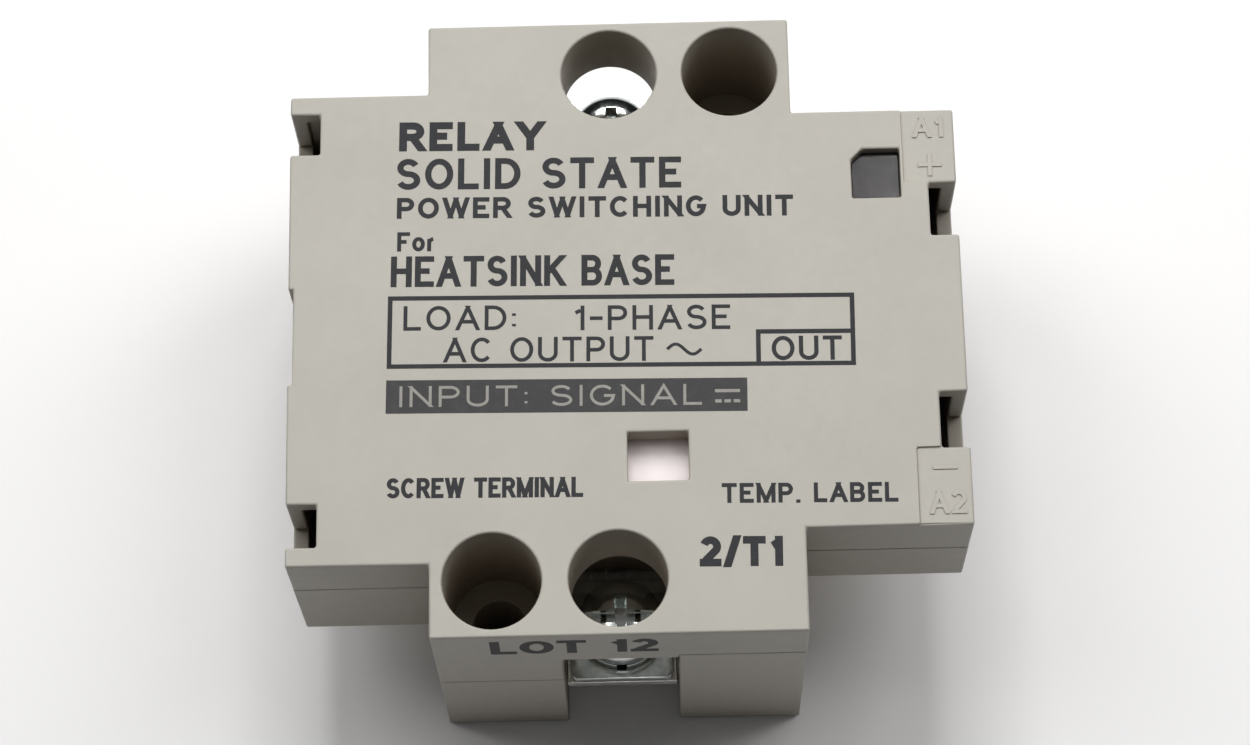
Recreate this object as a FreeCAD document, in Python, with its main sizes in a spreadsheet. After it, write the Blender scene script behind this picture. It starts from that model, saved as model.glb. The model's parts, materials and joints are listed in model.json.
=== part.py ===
import FreeCAD, Part
import Sketcher
import math
import os
import re

# A solid state relay of the plug-in power cartridge type.
# Frame: +Z up towards the printed face, +X towards the input side, origin at the centre of the
# metal base face. The two load ends are the same, turned half a turn about Z, so every load piece
# is described at the front end (-Y) and turned for the rear one.

FRONT = "front"
REAR = "rear"
ENDS = (FRONT, REAR)

doc = FreeCAD.newDocument("SolidStateRelay")
sheet = doc.addObject("Spreadsheet::Sheet", "Sizes")

SIZES = {
    # The case. The column is the deep middle block that reaches the heatsink, the ears stand off it.
    "column_half_width": 19.0,
    "column_half_length": 33.5,
    "left_ear_reach": 33.5,
    "left_ear_half_length": 25.75,
    "left_ear_underside": 12.5,
    "right_ear_reach": 36.0,
    "right_ear_half_length": 22.75,
    "right_ear_underside": 17.2,
    "face_height": 35.0,
    "seam_height": 26.6,
    "skirt_height": 17.7,
    "case_underside": 0.2,
    "wall": 1.6,
    "roof": 2.0,
    "floor_top": 4.6,
    # Wells in the printed face.
    "well_radius": 5.0,
    "well_wall": 1.2,
    "load_end": 27.6,
    "mounting_offset": 12.7,
    "mounting_hole_radius": 2.8,
    "boss_radius": 5.2,
    # The opening for the load wire, at each end of the column.
    "entry_half_width": 6.0,
    "entry_top": 25.6,
    "entry_back": 20.9,
    "pedestal_front": 29.3,
    "screw_well_radius": 3.0,
    "screw_well_bottom": 4.4,
    # Edge notches of the cover.
    "left_notch_depth": 3.15,
    "left_notch_near": 19.2,
    "left_notch_far": 23.7,
    "right_notch_depth": 2.95,
    "right_notch_near": 8.6,
    "right_notch_far": 14.5,
    "finger_recess": 0.5,
    "finger_recess_low": 6.3,
    "finger_recess_high": 4.1,
    # Windows and marked tiles of the cover.
    "lens_left": 25.1,
    "lens_right": 30.2,
    "lens_low": 12.9,
    "lens_high": 18.4,
    "lens_corner": 1.2,
    "lens_top": 33.9,
    "lens_thickness": 0.9,
    "label_left": 1.2,
    "label_right": 7.4,
    "label_low": 17.4,
    "label_high": 12.2,
    "label_top": 31.95,
    "label_thickness": 0.2,
    "label_margin": 0.6,
    "tile_left": 30.5,
    "tile_near": 14.5,
    "tile_depth": 0.25,
    "tongue_thickness": 1.0,
    "tongue_length": 5.0,
    "tongue_width": 6.0,
    "left_tongue_start": 27.0,
    "right_tongue_start": 21.0,
    "stand_table": 1.2,
    "stand_stem_inset": 1.0,
    # How far a cutting shape runs past the face it cuts.
    "cut_past": 1.0,
    # The power stage.
    "plate_half_width": 16.5,
    "plate_half_length": 18.3,
    "plate_thickness": 3.0,
    "plate_corner": 1.5,
    "fit_gap": 0.1,
    "substrate_half_width": 14.0,
    "substrate_half_length": 16.0,
    "substrate_thickness": 0.8,
    "track_half_width": 13.0,
    "track_inner": 0.75,
    "track_outer": 15.5,
    "track_thickness": 0.3,
    "chip_outer": 12.0,
    "chip_width": 7.0,
    "chip_near": 1.5,
    "chip_thickness": 0.5,
    "clip_thickness": 0.5,
    "clip_rise": 1.5,
    "clip_width": 3.0,
    "clip_landing": 1.5,
    "clip_foot": 2.0,
    "pin_radius": 0.4,
    "pin_inset": 1.0,
    "pin_pitch": 2.0,
    # Load terminals. The screw is M5: its thread is a plain shank here.
    "terminal_top": 14.55,
    "terminal_thickness": 1.5,
    "terminal_half_width": 5.8,
    "terminal_outer": 33.0,
    "terminal_bend": 13.5,
    "terminal_foot": 9.0,
    "terminal_leg_half_width": 4.0,
    "terminal_hole_radius": 2.75,
    "nut_width": 8.0,
    "nut_thickness": 4.0,
    "nut_bore_radius": 2.52,
    "shank_radius": 2.45,
    "screw_length": 12.0,
    "tip_chamfer": 0.6,
    "head_radius": 4.4,
    "head_rim": 1.7,
    "head_height": 3.2,
    "head_underside": 17.6,
    "shoulder_inset": 0.5,
    "shoulder_rise": 0.7,
    "brow_inset": 1.3,
    "brow_drop": 0.35,
    "crown_radius": 1.0,
    "recess_arm": 1.2,
    "recess_reach": 2.7,
    "recess_depth": 2.2,
    "slot_width": 1.3,
    "slot_depth": 1.1,
    "spring_washer_bore": 2.65,
    "spring_washer_radius": 4.5,
    "spring_washer_thickness": 1.4,
    "spring_washer_split": 0.8,
    "clamp_washer_width": 10.8,
    "clamp_washer_thickness": 1.45,
    "clamp_washer_corner": 0.9,
    "rest_gap": 0.05,
    # The control board, level with the input contacts.
    "board_underside": 21.6,
    "board_thickness": 1.6,
    "board_left": 31.3,
    "board_right": 31.0,
    "board_half_length": 18.8,
    "board_notch_left": 27.0,
    "board_notch_near": 8.9,
    "board_notch_far": 14.0,
    "post_radius": 2.0,
    "post_inset": 3.4,
    "post_offset": 16.0,
    "contact_centre": 11.55,
    "contact_left": 27.5,
    "contact_right": 31.3,
    "contact_top": 26.0,
    "contact_bottom": 19.0,
    "contact_half_width": 1.65,
    "contact_sheet": 0.5,
    "contact_foot": 24.5,
    "socket_half_width": 1.05,
    "led_radius": 1.5,
    "led_x": 27.65,
    "led_y": 15.65,
    "led_base": 26.6,
    "led_top": 31.5,
    "led_collar": 1.0,
    "led_flange": 0.3,
    # Parts soldered to the board. Lifts are heights above it.
    "wire_radius": 0.32,
    "leg_radius": 0.25,
    "lead_pitch": 2.54,
    "leg_depth": 1.0,
    "coupler_half_width": 3.2,
    "coupler_near": 2.0,
    "coupler_far": 10.6,
    "coupler_lift": 0.6,
    "coupler_height": 4.0,
    "coupler_leg_x": 3.5,
    "coupler_leg_y": 3.76,
    "coupler_leg_width": 0.7,
    "coupler_leg_thickness": 0.5,
    "coupler_leg_height": 2.4,
    "capacitor_left": 30.0,
    "capacitor_right": 17.0,
    "capacitor_near": 7.5,
    "capacitor_far": 13.5,
    "capacitor_lift": 0.5,
    "capacitor_height": 8.5,
    "capacitor_leg_inset": 1.5,
    "capacitor_leg_radius": 0.35,
    "snubber_x": -20.0,
    "snubber_y": 0.0,
    "snubber_length": 9.5,
    "snubber_span": 13.0,
    "snubber_radius": 1.7,
    "snubber_lift": 2.0,
    "input_x": 15.0,
    "input_first": -6.0,
    "input_pitch": 4.0,
    "input_length": 6.3,
    "input_span": 10.0,
    "input_radius": 1.15,
    "input_lift": 1.4,
    "varistor_left": 26.0,
    "varistor_right": 22.4,
    "varistor_y": 10.0,
    "varistor_radius": 4.3,
    "varistor_lift": 5.0,
    "varistor_leg_offset": 2.5,
    "varistor_leg_radius": 0.3,
    "varistor_leg_height": 3.0,
    "transistor_x": 21.0,
    "transistor_y": 11.5,
    "transistor_radius": 2.3,
    "transistor_flat": 0.8,
    "transistor_lift": 1.5,
    "transistor_height": 6.2,
    "transistor_leg_height": 2.0,
}

for row, (word, size) in enumerate(SIZES.items(), start=1):
    sheet.set(f"A{row}", word)
    sheet.set(f"B{row}", str(size))
    sheet.setAlias(f"B{row}", word)
doc.recompute()

# Heights that several pieces share, as expressions.
TRACK_LOW = "plate_thickness + substrate_thickness"
TRACK_TOP = f"{TRACK_LOW} + track_thickness"
BOARD_TOP = "board_underside + board_thickness"
SCREW_CROWN = "head_underside + head_height"

parts = []


def on_sheet(expression):
    """Point every size named in an expression at the sheet."""
    return re.sub(r"[a-z]+(_[a-z]+)+|wall|roof", lambda word: "Sizes." + word.group(), str(expression))


def bind(obj, prop, expression):
    obj.setExpression(prop, on_sheet(expression))


def name_part(obj, label):
    """Make an object one of the relay's pieces: its label is its file's name."""
    obj.Label = label
    parts.append(obj)
    return obj


def box(name, x, y, z):
    """A box from three (low, high) pairs of expressions."""
    obj = doc.addObject("Part::Box", name)
    for side, axis, (low, high) in (("Length", "x", x), ("Width", "y", y), ("Height", "z", z)):
        bind(obj, side, f"({high}) - ({low})")
        bind(obj, f"Placement.Base.{axis}", low)
    return obj


def rod(name, x, y, z, radius):
    """An upright cylinder at (x, y) between the two heights in z."""
    low, high = z
    obj = doc.addObject("Part::Cylinder", name)
    bind(obj, "Radius", radius)
    bind(obj, "Height", f"({high}) - ({low})")
    bind(obj, "Placement.Base.x", x)
    bind(obj, "Placement.Base.y", y)
    bind(obj, "Placement.Base.z", low)
    return obj


def lying_rod(name, x, y, z, radius):
    """A cylinder along X between the two places in x."""
    low, high = x
    obj = rod(name, low, y, (z, f"({z}) + ({high}) - ({low})"), radius)
    obj.Placement.Rotation = FreeCAD.Rotation(FreeCAD.Vector(0, 1, 0), 90)
    return obj


def turned(end, pair):
    """A (low, high) pair at the front end, turned half a turn about Z for the rear one."""
    low, high = pair
    return pair if end == FRONT else (f"-({high})", f"-({low})")


def end_box(end, name, x, y, z):
    return box(f"{name}_{end}", turned(end, x), turned(end, y), z)


def end_rod(end, name, x, y, z, radius):
    sign = "" if end == FRONT else "-"
    return rod(f"{name}_{end}", f"{sign}({x})", f"{sign}({y})", z, radius)


def fuse(name, pieces):
    obj = doc.addObject("Part::MultiFuse", name)
    obj.Shapes = pieces
    obj.Refine = True
    return obj


def cut(name, base, tools):
    obj = doc.addObject("Part::Cut", name)
    obj.Base = base
    obj.Tool = tools[0] if len(tools) == 1 else fuse(name + "_tools", tools)
    obj.Refine = True
    return obj


def plane_of(body, role):
    return next(feature for feature in body.Origin.OriginFeatures if feature.Role == role)


def new_sketch(body, name, role, lift="0"):
    """A sketch on one of the body's own planes, lifted along its normal."""
    sketch = body.newObject("Sketcher::SketchObject", name)
    sketch.AttachmentSupport = (plane_of(body, role), [""])
    sketch.MapMode = "FlatFace"
    bind(sketch, "AttachmentOffset.Base.z", lift)
    return sketch


def draw_outline(sketch, corners):
    """A closed outline whose corners are (across, up) pairs of expressions."""
    count = len(corners)
    first = sketch.GeometryCount
    spots = [
        FreeCAD.Vector(math.cos(2 * math.pi * turn / count), math.sin(2 * math.pi * turn / count), 0)
        for turn in range(count)
    ]
    for turn in range(count):
        sketch.addGeometry(Part.LineSegment(spots[turn], spots[(turn + 1) % count]), False)
    for turn in range(count):
        after = first + (turn + 1) % count
        sketch.addConstraint(Sketcher.Constraint("Coincident", first + turn, 2, after, 1))
    for turn, (across, up) in enumerate(corners):
        spot = spots[turn]
        for kind, expression, start in (("DistanceX", across, spot.x), ("DistanceY", up, spot.y)):
            index = sketch.addConstraint(Sketcher.Constraint(kind, -1, 1, first + turn, 1, start))
            bind(sketch, f"Constraints[{index}]", expression)


def draw_rectangle(sketch, across, up):
    left, right = across
    low, high = up
    draw_outline(sketch, [(left, low), (right, low), (right, high), (left, high)])


def draw_circle(sketch, across, up, radius):
    start = Part.Circle(FreeCAD.Vector(1, 1, 0), FreeCAD.Vector(0, 0, 1), 1)
    spot = sketch.addGeometry(start, False)
    for kind, expression in (("DistanceX", across), ("DistanceY", up)):
        index = sketch.addConstraint(Sketcher.Constraint(kind, -1, 1, spot, 3, 1.0))
        bind(sketch, f"Constraints[{index}]", expression)
    index = sketch.addConstraint(Sketcher.Constraint("Radius", spot, 1.0))
    bind(sketch, f"Constraints[{index}]", radius)


def new_body(name):
    return doc.addObject("PartDesign::Body", name)


def pad(body, sketch, name, length, both_ways=False):
    obj = body.newObject("PartDesign::Pad", name)
    obj.Profile = sketch
    obj.Midplane = both_ways
    bind(obj, "Length", length)
    return obj


def pocket(body, sketch, name, depth=None):
    """Cut a sketch down from its own height, or all the way through when no depth is given."""
    before = body.Tip
    doc.recompute()
    volume_before = before.Shape.Volume
    obj = body.newObject("PartDesign::Pocket", name)
    obj.Profile = sketch
    if depth is None:
        obj.Type = "ThroughAll"
        obj.Midplane = True
    else:
        bind(obj, "Length", depth)
    doc.recompute()
    if not obj.Shape.Volume < volume_before:
        raise ValueError(f"{name} cuts nothing")
    return obj


def spin(body, sketch, name):
    """Turn a sketch a full turn about its own upright axis."""
    obj = body.newObject("PartDesign::Revolution", name)
    obj.Profile = sketch
    obj.ReferenceAxis = (sketch, ["V_Axis"])
    obj.Angle = 360
    return obj


def round_uprights(body, feature, name, radius):
    """Round the upright outer edges of a plate."""
    doc.recompute()
    upright = [
        f"Edge{number}"
        for number, edge in enumerate(feature.Shape.Edges, start=1)
        if edge.Curve.TypeId == "Part::GeomLine" and abs(edge.tangentAt(edge.FirstParameter).z) > 0.99
    ]
    obj = body.newObject("PartDesign::Fillet", name)
    obj.Base = (feature, upright)
    bind(obj, "Radius", radius)
    return obj


def place_at_end(body, end):
    """Stand a body that is built about Z on the load screw's axis."""
    bind(body, "Placement.Base.y", "-load_end" if end == FRONT else "load_end")
    if end == REAR:
        body.Placement.Rotation = FreeCAD.Rotation(FreeCAD.Vector(0, 0, 1), 180)


# ---------------------------------------------------------------- case

def case_outline(name, grow_in, ear_floors, column_floor, top):
    """The column with its two ears, each wall moved in by grow_in, between its floors and top."""
    left_floor, right_floor = ear_floors
    column = box(
        name + "_column",
        (f"-column_half_width + {grow_in}", f"column_half_width - {grow_in}"),
        (f"-column_half_length + {grow_in}", f"column_half_length - {grow_in}"),
        (column_floor, top),
    )
    left = box(
        name + "_left_ear",
        (f"-left_ear_reach + {grow_in}", "0"),
        (f"-left_ear_half_length + {grow_in}", f"left_ear_half_length - {grow_in}"),
        (left_floor, top),
    )
    right = box(
        name + "_right_ear",
        ("0", f"right_ear_reach - {grow_in}"),
        (f"-right_ear_half_length + {grow_in}", f"right_ear_half_length - {grow_in}"),
        (right_floor, top),
    )
    return column, left, right


def notch_boxes(height):
    """The four edge notches, two in each ear."""
    boxes = []
    for end in ENDS:
        for side, x in (
            ("left", ("-left_ear_reach - cut_past", "-left_ear_reach + left_notch_depth")),
            ("right", ("right_ear_reach - right_notch_depth", "right_ear_reach + cut_past")),
        ):
            y = turned(end, (f"-{side}_notch_far", f"-{side}_notch_near"))
            boxes.append(box(f"notch_{side}_{end}", x, y, height))
    return boxes


def lens_shape(name, height):
    """The LED window's outline, a rectangle with one corner cut off, between the two heights."""
    whole = box(name + "_box", ("lens_left", "lens_right"), ("lens_low", "lens_high"), height)
    # A square turned 45 degrees about the start of the cut takes that corner off.
    side, start = "lens_corner * sqrt(2)", "lens_high - lens_corner"
    corner = box(
        name + "_corner", ("lens_left", f"lens_left + {side}"), (start, f"{start} + {side}"), height,
    )
    corner.Placement.Rotation = FreeCAD.Rotation(FreeCAD.Vector(0, 0, 1), 45)
    return cut(name, whole, [corner])


def build_end_walls(end):
    """The cover's skirt under the mounting well and its wall over the load opening."""
    skirt = end_box(
        end, "skirt",
        ("-column_half_width", "-entry_half_width"),
        ("-column_half_length", "-entry_back"),
        ("skirt_height", "face_height - roof"),
    )
    ceiling = end_box(
        end, "entry_ceiling",
        ("-entry_half_width", "entry_half_width"),
        ("-column_half_length", "-entry_back"),
        ("entry_top", "entry_top + wall"),
    )
    return [skirt, ceiling]


def build_tongues(end):
    """Tongues inside the ears' end walls that reach down past the seam."""
    tongues = []
    for side, start in (("left", "-left_tongue_start"), ("right", "right_tongue_start")):
        far = f"{side}_ear_half_length - wall"
        tongues.append(box(
            f"tongue_{side}_{end}",
            (start, f"{start} + tongue_width"),
            turned(end, (f"-({far})", f"-({far}) + tongue_thickness")),
            ("seam_height - tongue_length", "face_height - roof"),
        ))
    return tongues


def build_cover_openings():
    """Every shape that is cut through the finished cover."""
    below, above = "seam_height - cut_past", "face_height + cut_past"
    openings = notch_boxes((below, above))
    openings.append(box(
        "finger_notch",
        ("-left_ear_reach - cut_past", "-left_ear_reach + finger_recess"),
        ("-finger_recess_low", "finger_recess_high"),
        (below, above),
    ))
    openings.append(lens_shape("lens_window", ("face_height - roof - cut_past", above)))
    openings.append(box(
        "label_window", ("label_left", "label_right"), ("-label_low", "-label_high"),
        ("face_height - roof - 2 * cut_past", above),
    ))
    for end in ENDS:
        edge = "right_ear_half_length + cut_past"
        openings.append(box(
            f"tile_{end}",
            ("tile_left", "right_ear_reach + cut_past"),
            turned(end, (f"-({edge})", "-tile_near")),
            ("face_height - tile_depth", above),
        ))
        openings.append(end_rod(
            end, "driver_well", "0", "-load_end", ("entry_top - cut_past", above), "well_radius",
        ))
        openings.append(end_rod(
            end, "mounting_well", "-mounting_offset", "-load_end",
            ("skirt_height - cut_past", above), "well_radius",
        ))
    return openings


def build_upper_case():
    floor = "seam_height - cut_past"
    outside = fuse("cover_outside", case_outline(
        "cover", 0, ("seam_height", "seam_height"), "seam_height", "face_height",
    ))
    inside = fuse("cover_inside", case_outline(
        "cover_room", "wall", (floor, floor), floor, "face_height - roof",
    ))
    label_walls = box(
        "label_walls",
        ("label_left - wall", "label_right + wall"),
        ("-label_low - wall", "-label_high + wall"),
        ("face_height - roof - cut_past", "face_height"),
    )
    end_walls = [wall for end in ENDS for wall in build_end_walls(end)]
    tubes = [
        end_rod(
            end, "driver_tube", "0", "-load_end",
            ("entry_top", "face_height - roof"), "well_radius + well_wall",
        )
        for end in ENDS
    ]
    room = cut("cover_room_cut", inside, end_walls + tubes + [label_walls])
    shell = cut("cover_shell", outside, [room])
    tongues = [tongue for end in ENDS for tongue in build_tongues(end)]
    solid = fuse("cover_solid", [shell] + end_walls + tongues)
    name_part(cut("UpperCase", solid, build_cover_openings()), "upper_case")


ABOVE_SEAM = "seam_height + cut_past"


def build_base_rooms():
    """The rooms of the lower case, open at the seam, and the seats in its floor."""
    return [
        box(
            "column_room",
            ("-column_half_width + wall", "column_half_width - wall"),
            ("-entry_back + wall", "entry_back - wall"),
            ("floor_top", ABOVE_SEAM),
        ),
        box(
            "left_room",
            ("-left_ear_reach + wall", "0"),
            ("-left_ear_half_length + wall", "left_ear_half_length - wall"),
            ("left_ear_underside + wall", ABOVE_SEAM),
        ),
        box(
            "right_room",
            ("0", "right_ear_reach - wall"),
            ("-right_ear_half_length + wall", "right_ear_half_length - wall"),
            ("right_ear_underside + wall", ABOVE_SEAM),
        ),
        box(
            "plate_seat",
            ("-plate_half_width - fit_gap", "plate_half_width + fit_gap"),
            ("-plate_half_length - fit_gap", "plate_half_length + fit_gap"),
            ("-cut_past", "plate_thickness"),
        ),
        box(
            "substrate_window",
            ("-substrate_half_width - wall / 2", "substrate_half_width + wall / 2"),
            ("-substrate_half_length - wall / 2", "substrate_half_length + wall / 2"),
            ("0", "floor_top + cut_past"),
        ),
    ]


def build_entry_cuts(end):
    """The load opening, the seats round it and the hollows beside it."""
    across_entry = ("-entry_half_width", "entry_half_width")
    outside = "-column_half_length - cut_past"
    strip = ("terminal_top - terminal_thickness", "terminal_top")
    return [
        end_box(
            end, "skirt_seat",
            ("-column_half_width", "-entry_half_width"),
            (outside, "-entry_back"),
            ("skirt_height", ABOVE_SEAM),
        ),
        end_box(end, "entry_room", across_entry, (outside, "-entry_back"), (strip[0], ABOVE_SEAM)),
        end_box(
            end, "entry_front", across_entry, (outside, "-pedestal_front"), ("-cut_past", ABOVE_SEAM),
        ),
        end_box(
            end, "nut_seat",
            ("-nut_width / 2 - fit_gap", "nut_width / 2 + fit_gap"),
            ("-column_half_length", "-load_end + nut_width / 2 + fit_gap"),
            ("terminal_top - terminal_thickness - nut_thickness", "terminal_top"),
        ),
        end_box(
            end, "plate_slot",
            ("-terminal_half_width - fit_gap", "terminal_half_width + fit_gap"),
            ("-entry_back - cut_past", "-entry_back + wall + cut_past"),
            strip,
        ),
        end_box(
            end, "far_room",
            ("entry_half_width + wall", "column_half_width - wall"),
            ("-column_half_length + wall", "-entry_back + wall + cut_past"),
            ("floor_top", ABOVE_SEAM),
        ),
        end_box(
            end, "core",
            ("-column_half_width + wall", "-entry_half_width - wall"),
            ("-column_half_length + wall", "-entry_back"),
            ("-cut_past", "skirt_height - wall"),
        ),
        end_rod(
            end, "screw_well", "0", "-load_end",
            ("screw_well_bottom", "terminal_top"), "screw_well_radius",
        ),
    ]


def build_posts():
    """Four posts that carry the control board, two in each ear."""
    posts = []
    for side, place, underside in (
        ("left", "-left_ear_reach + wall + post_inset", "left_ear_underside"),
        ("right", "right_ear_half_length - post_inset + post_radius", "right_ear_underside"),
    ):
        for end, sign in ((FRONT, "-"), (REAR, "")):
            posts.append(rod(
                f"board_post_{side}_{end}", place, f"{sign}post_offset",
                (underside, "board_underside"), "post_radius",
            ))
    return posts


def build_lower_case():
    outside = fuse("base_outside", case_outline(
        "base", 0, ("left_ear_underside", "right_ear_underside"), "case_underside", "seam_height",
    ))
    shell = cut("base_shell", outside, build_base_rooms())
    # Walls round each load opening, put back where the rooms have cut them.
    entry_walls = [
        end_box(
            end, "entry_walls",
            ("-column_half_width", "entry_half_width + wall"),
            ("-column_half_length", "-entry_back + wall"),
            ("case_underside", "seam_height"),
        )
        for end in ENDS
    ]
    entry_cuts = [piece for end in ENDS for piece in build_entry_cuts(end)]
    walled = cut("base_open", fuse("base_walled", [shell] + entry_walls), entry_cuts)
    bosses = [
        end_rod(
            end, "boss", "-mounting_offset", "-load_end",
            ("case_underside", "skirt_height"), "boss_radius",
        )
        for end in ENDS
    ]
    holes = [
        end_rod(
            end, "mounting_hole", "-mounting_offset", "-load_end",
            ("-cut_past", "skirt_height + cut_past"), "mounting_hole_radius",
        )
        for end in ENDS
    ]
    for end, sign in ((FRONT, "-"), (REAR, "")):
        middle = f"{sign}contact_centre"
        holes.append(box(
            f"socket_{end}",
            ("contact_left + contact_sheet", "contact_right"),
            (f"{middle} - socket_half_width", f"{middle} + socket_half_width"),
            ("right_ear_underside - cut_past", "right_ear_underside + wall + cut_past"),
        ))
    solid = fuse("base_solid", [walled] + bosses + build_posts())
    name_part(cut("LowerCase", solid, holes), "lower_case")


def build_windows():
    name_part(lens_shape("led_window", ("lens_top - lens_thickness", "lens_top")), "led_lens")
    label_underside = "label_top - label_thickness"
    label = box(
        "TempLabel",
        ("label_left - label_margin / 2", "label_right + label_margin / 2"),
        ("-label_low - label_margin / 2", "-label_high + label_margin / 2"),
        (label_underside, "label_top"),
    )
    name_part(label, "temp_label")
    stand = fuse("LabelStand", [
        box(
            "stand_plate",
            ("label_left - label_margin", "label_right + label_margin"),
            ("-label_low - label_margin", "-label_high + label_margin"),
            (f"{label_underside} - stand_table", label_underside),
        ),
        box(
            "stand_stem",
            ("label_left + stand_stem_inset", "label_right - stand_stem_inset"),
            ("-label_low + stand_stem_inset", "-label_high - stand_stem_inset"),
            (BOARD_TOP, label_underside),
        ),
    ])
    name_part(stand, "label_stand")


# ---------------------------------------------------------------- power stage

def build_base_plate():
    body = new_body("BasePlate")
    sketch = new_sketch(body, "plate_outline", "XY_Plane")
    draw_rectangle(
        sketch,
        ("-plate_half_width", "plate_half_width"),
        ("-plate_half_length", "plate_half_length"),
    )
    plate = pad(body, sketch, "plate_pad", "plate_thickness")
    round_uprights(body, plate, "plate_corners", "plate_corner")
    name_part(body, "base_plate")


def build_substrate():
    body = new_body("CeramicSubstrate")
    sketch = new_sketch(body, "substrate_outline", "XY_Plane", "plate_thickness")
    draw_rectangle(
        sketch,
        ("-substrate_half_width", "substrate_half_width"),
        ("-substrate_half_length", "substrate_half_length"),
    )
    pad(body, sketch, "substrate_pad", "substrate_thickness")
    name_part(body, "ceramic_substrate")


def build_power_chain(end):
    """A copper track, its thyristor and the clip from that thyristor over to the other track."""
    chip_top = f"{TRACK_TOP} + chip_thickness"
    track = end_box(
        end, "track",
        ("-track_half_width", "track_half_width"),
        ("-track_outer", "-track_inner"),
        (TRACK_LOW, TRACK_TOP),
    )
    name_part(track, f"copper_track_{end}")
    chip = end_box(
        end, "chip",
        ("-chip_outer", "-chip_outer + chip_width"),
        ("-chip_near - chip_width", "-chip_near"),
        (TRACK_TOP, chip_top),
    )
    name_part(chip, f"thyristor_{end}")

    middle = "-chip_outer + chip_width / 2"
    across = (f"{middle} - clip_width / 2", f"{middle} + clip_width / 2")
    bridge_top = f"{chip_top} + clip_rise"
    on_chip = "-chip_near - clip_landing"
    off_chip = "track_inner + clip_landing"
    clip = fuse(f"clip_fuse_{end}", [
        end_box(
            end, "clip_pad", across,
            ("-chip_near - chip_width + clip_landing", on_chip),
            (chip_top, f"{chip_top} + clip_thickness"),
        ),
        end_box(
            end, "clip_riser", across, (f"{on_chip} - clip_thickness", on_chip), (chip_top, bridge_top),
        ),
        end_box(
            end, "clip_bridge", across,
            (f"{on_chip} - clip_thickness", off_chip),
            (f"{bridge_top} - clip_thickness", bridge_top),
        ),
        end_box(
            end, "clip_drop", across, (f"{off_chip} - clip_thickness", off_chip), (TRACK_TOP, bridge_top),
        ),
        end_box(
            end, "clip_heel", across,
            (f"{off_chip} - clip_thickness", f"{off_chip} - clip_thickness + clip_foot"),
            (TRACK_TOP, f"{TRACK_TOP} + clip_thickness"),
        ),
    ])
    name_part(clip, f"cathode_clip_{end}")


PIN_PLACES = ("track_half_width - pin_inset", "track_half_width - pin_inset - pin_pitch")


def build_gate_pins():
    pins = [
        end_rod(
            end, f"pin_{turn}", f"-({place})", "-(track_outer - pin_inset)",
            (TRACK_TOP, f"{BOARD_TOP} + leg_depth"), "pin_radius",
        )
        for end in ENDS
        for turn, place in enumerate(PIN_PLACES)
    ]
    name_part(fuse("GatePins", pins), "gate_pins")


# ---------------------------------------------------------------- load terminals

def build_terminal_plate(end):
    """A bent strip: tongue under the screw, leg down through the case, foot on the copper track."""
    body = new_body(f"TerminalPlate_{end}")
    under = "terminal_top - terminal_thickness"
    # The sketch's own axes are -Y across and Z up, measured from the screw's axis.
    sketch = new_sketch(body, f"strip_{end}", "YZ_Plane")
    inner = "load_end - terminal_bend"
    foot = "load_end - terminal_foot"
    draw_outline(sketch, [
        ("load_end - terminal_outer", under),
        (f"{inner} - terminal_thickness", under),
        (f"{inner} - terminal_thickness", TRACK_TOP),
        (foot, TRACK_TOP),
        (foot, f"{TRACK_TOP} + terminal_thickness"),
        (inner, f"{TRACK_TOP} + terminal_thickness"),
        (inner, "terminal_top"),
        ("load_end - terminal_outer", "terminal_top"),
    ])
    pad(body, sketch, f"strip_pad_{end}", "2 * terminal_half_width", both_ways=True)
    hole = new_sketch(body, f"strip_hole_{end}", "XY_Plane", "terminal_top")
    draw_circle(hole, "0", "0", "terminal_hole_radius")
    pocket(body, hole, f"strip_bore_{end}", "2 * terminal_thickness")
    for side, sign in (("a", "-"), ("b", "")):
        narrow = new_sketch(body, f"strip_narrow_{side}_{end}", "XY_Plane", "terminal_top")
        edges = (f"{sign}(terminal_leg_half_width)", f"{sign}(terminal_half_width + cut_past)")
        draw_rectangle(narrow, edges, ("load_end - entry_back + wall + cut_past", "load_end"))
        pocket(body, narrow, f"strip_side_{side}_{end}", "terminal_top")
    place_at_end(body, end)
    name_part(body, f"terminal_plate_{end}")


def build_nut(end):
    body = new_body(f"Nut_{end}")
    under = "terminal_top - terminal_thickness - nut_thickness"
    sketch = new_sketch(body, f"nut_outline_{end}", "XY_Plane", under)
    draw_rectangle(sketch, ("-nut_width / 2", "nut_width / 2"), ("-nut_width / 2", "nut_width / 2"))
    draw_circle(sketch, "0", "0", "nut_bore_radius")
    pad(body, sketch, f"nut_pad_{end}", "nut_thickness")
    place_at_end(body, end)
    name_part(body, f"terminal_nut_{end}")


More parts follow.
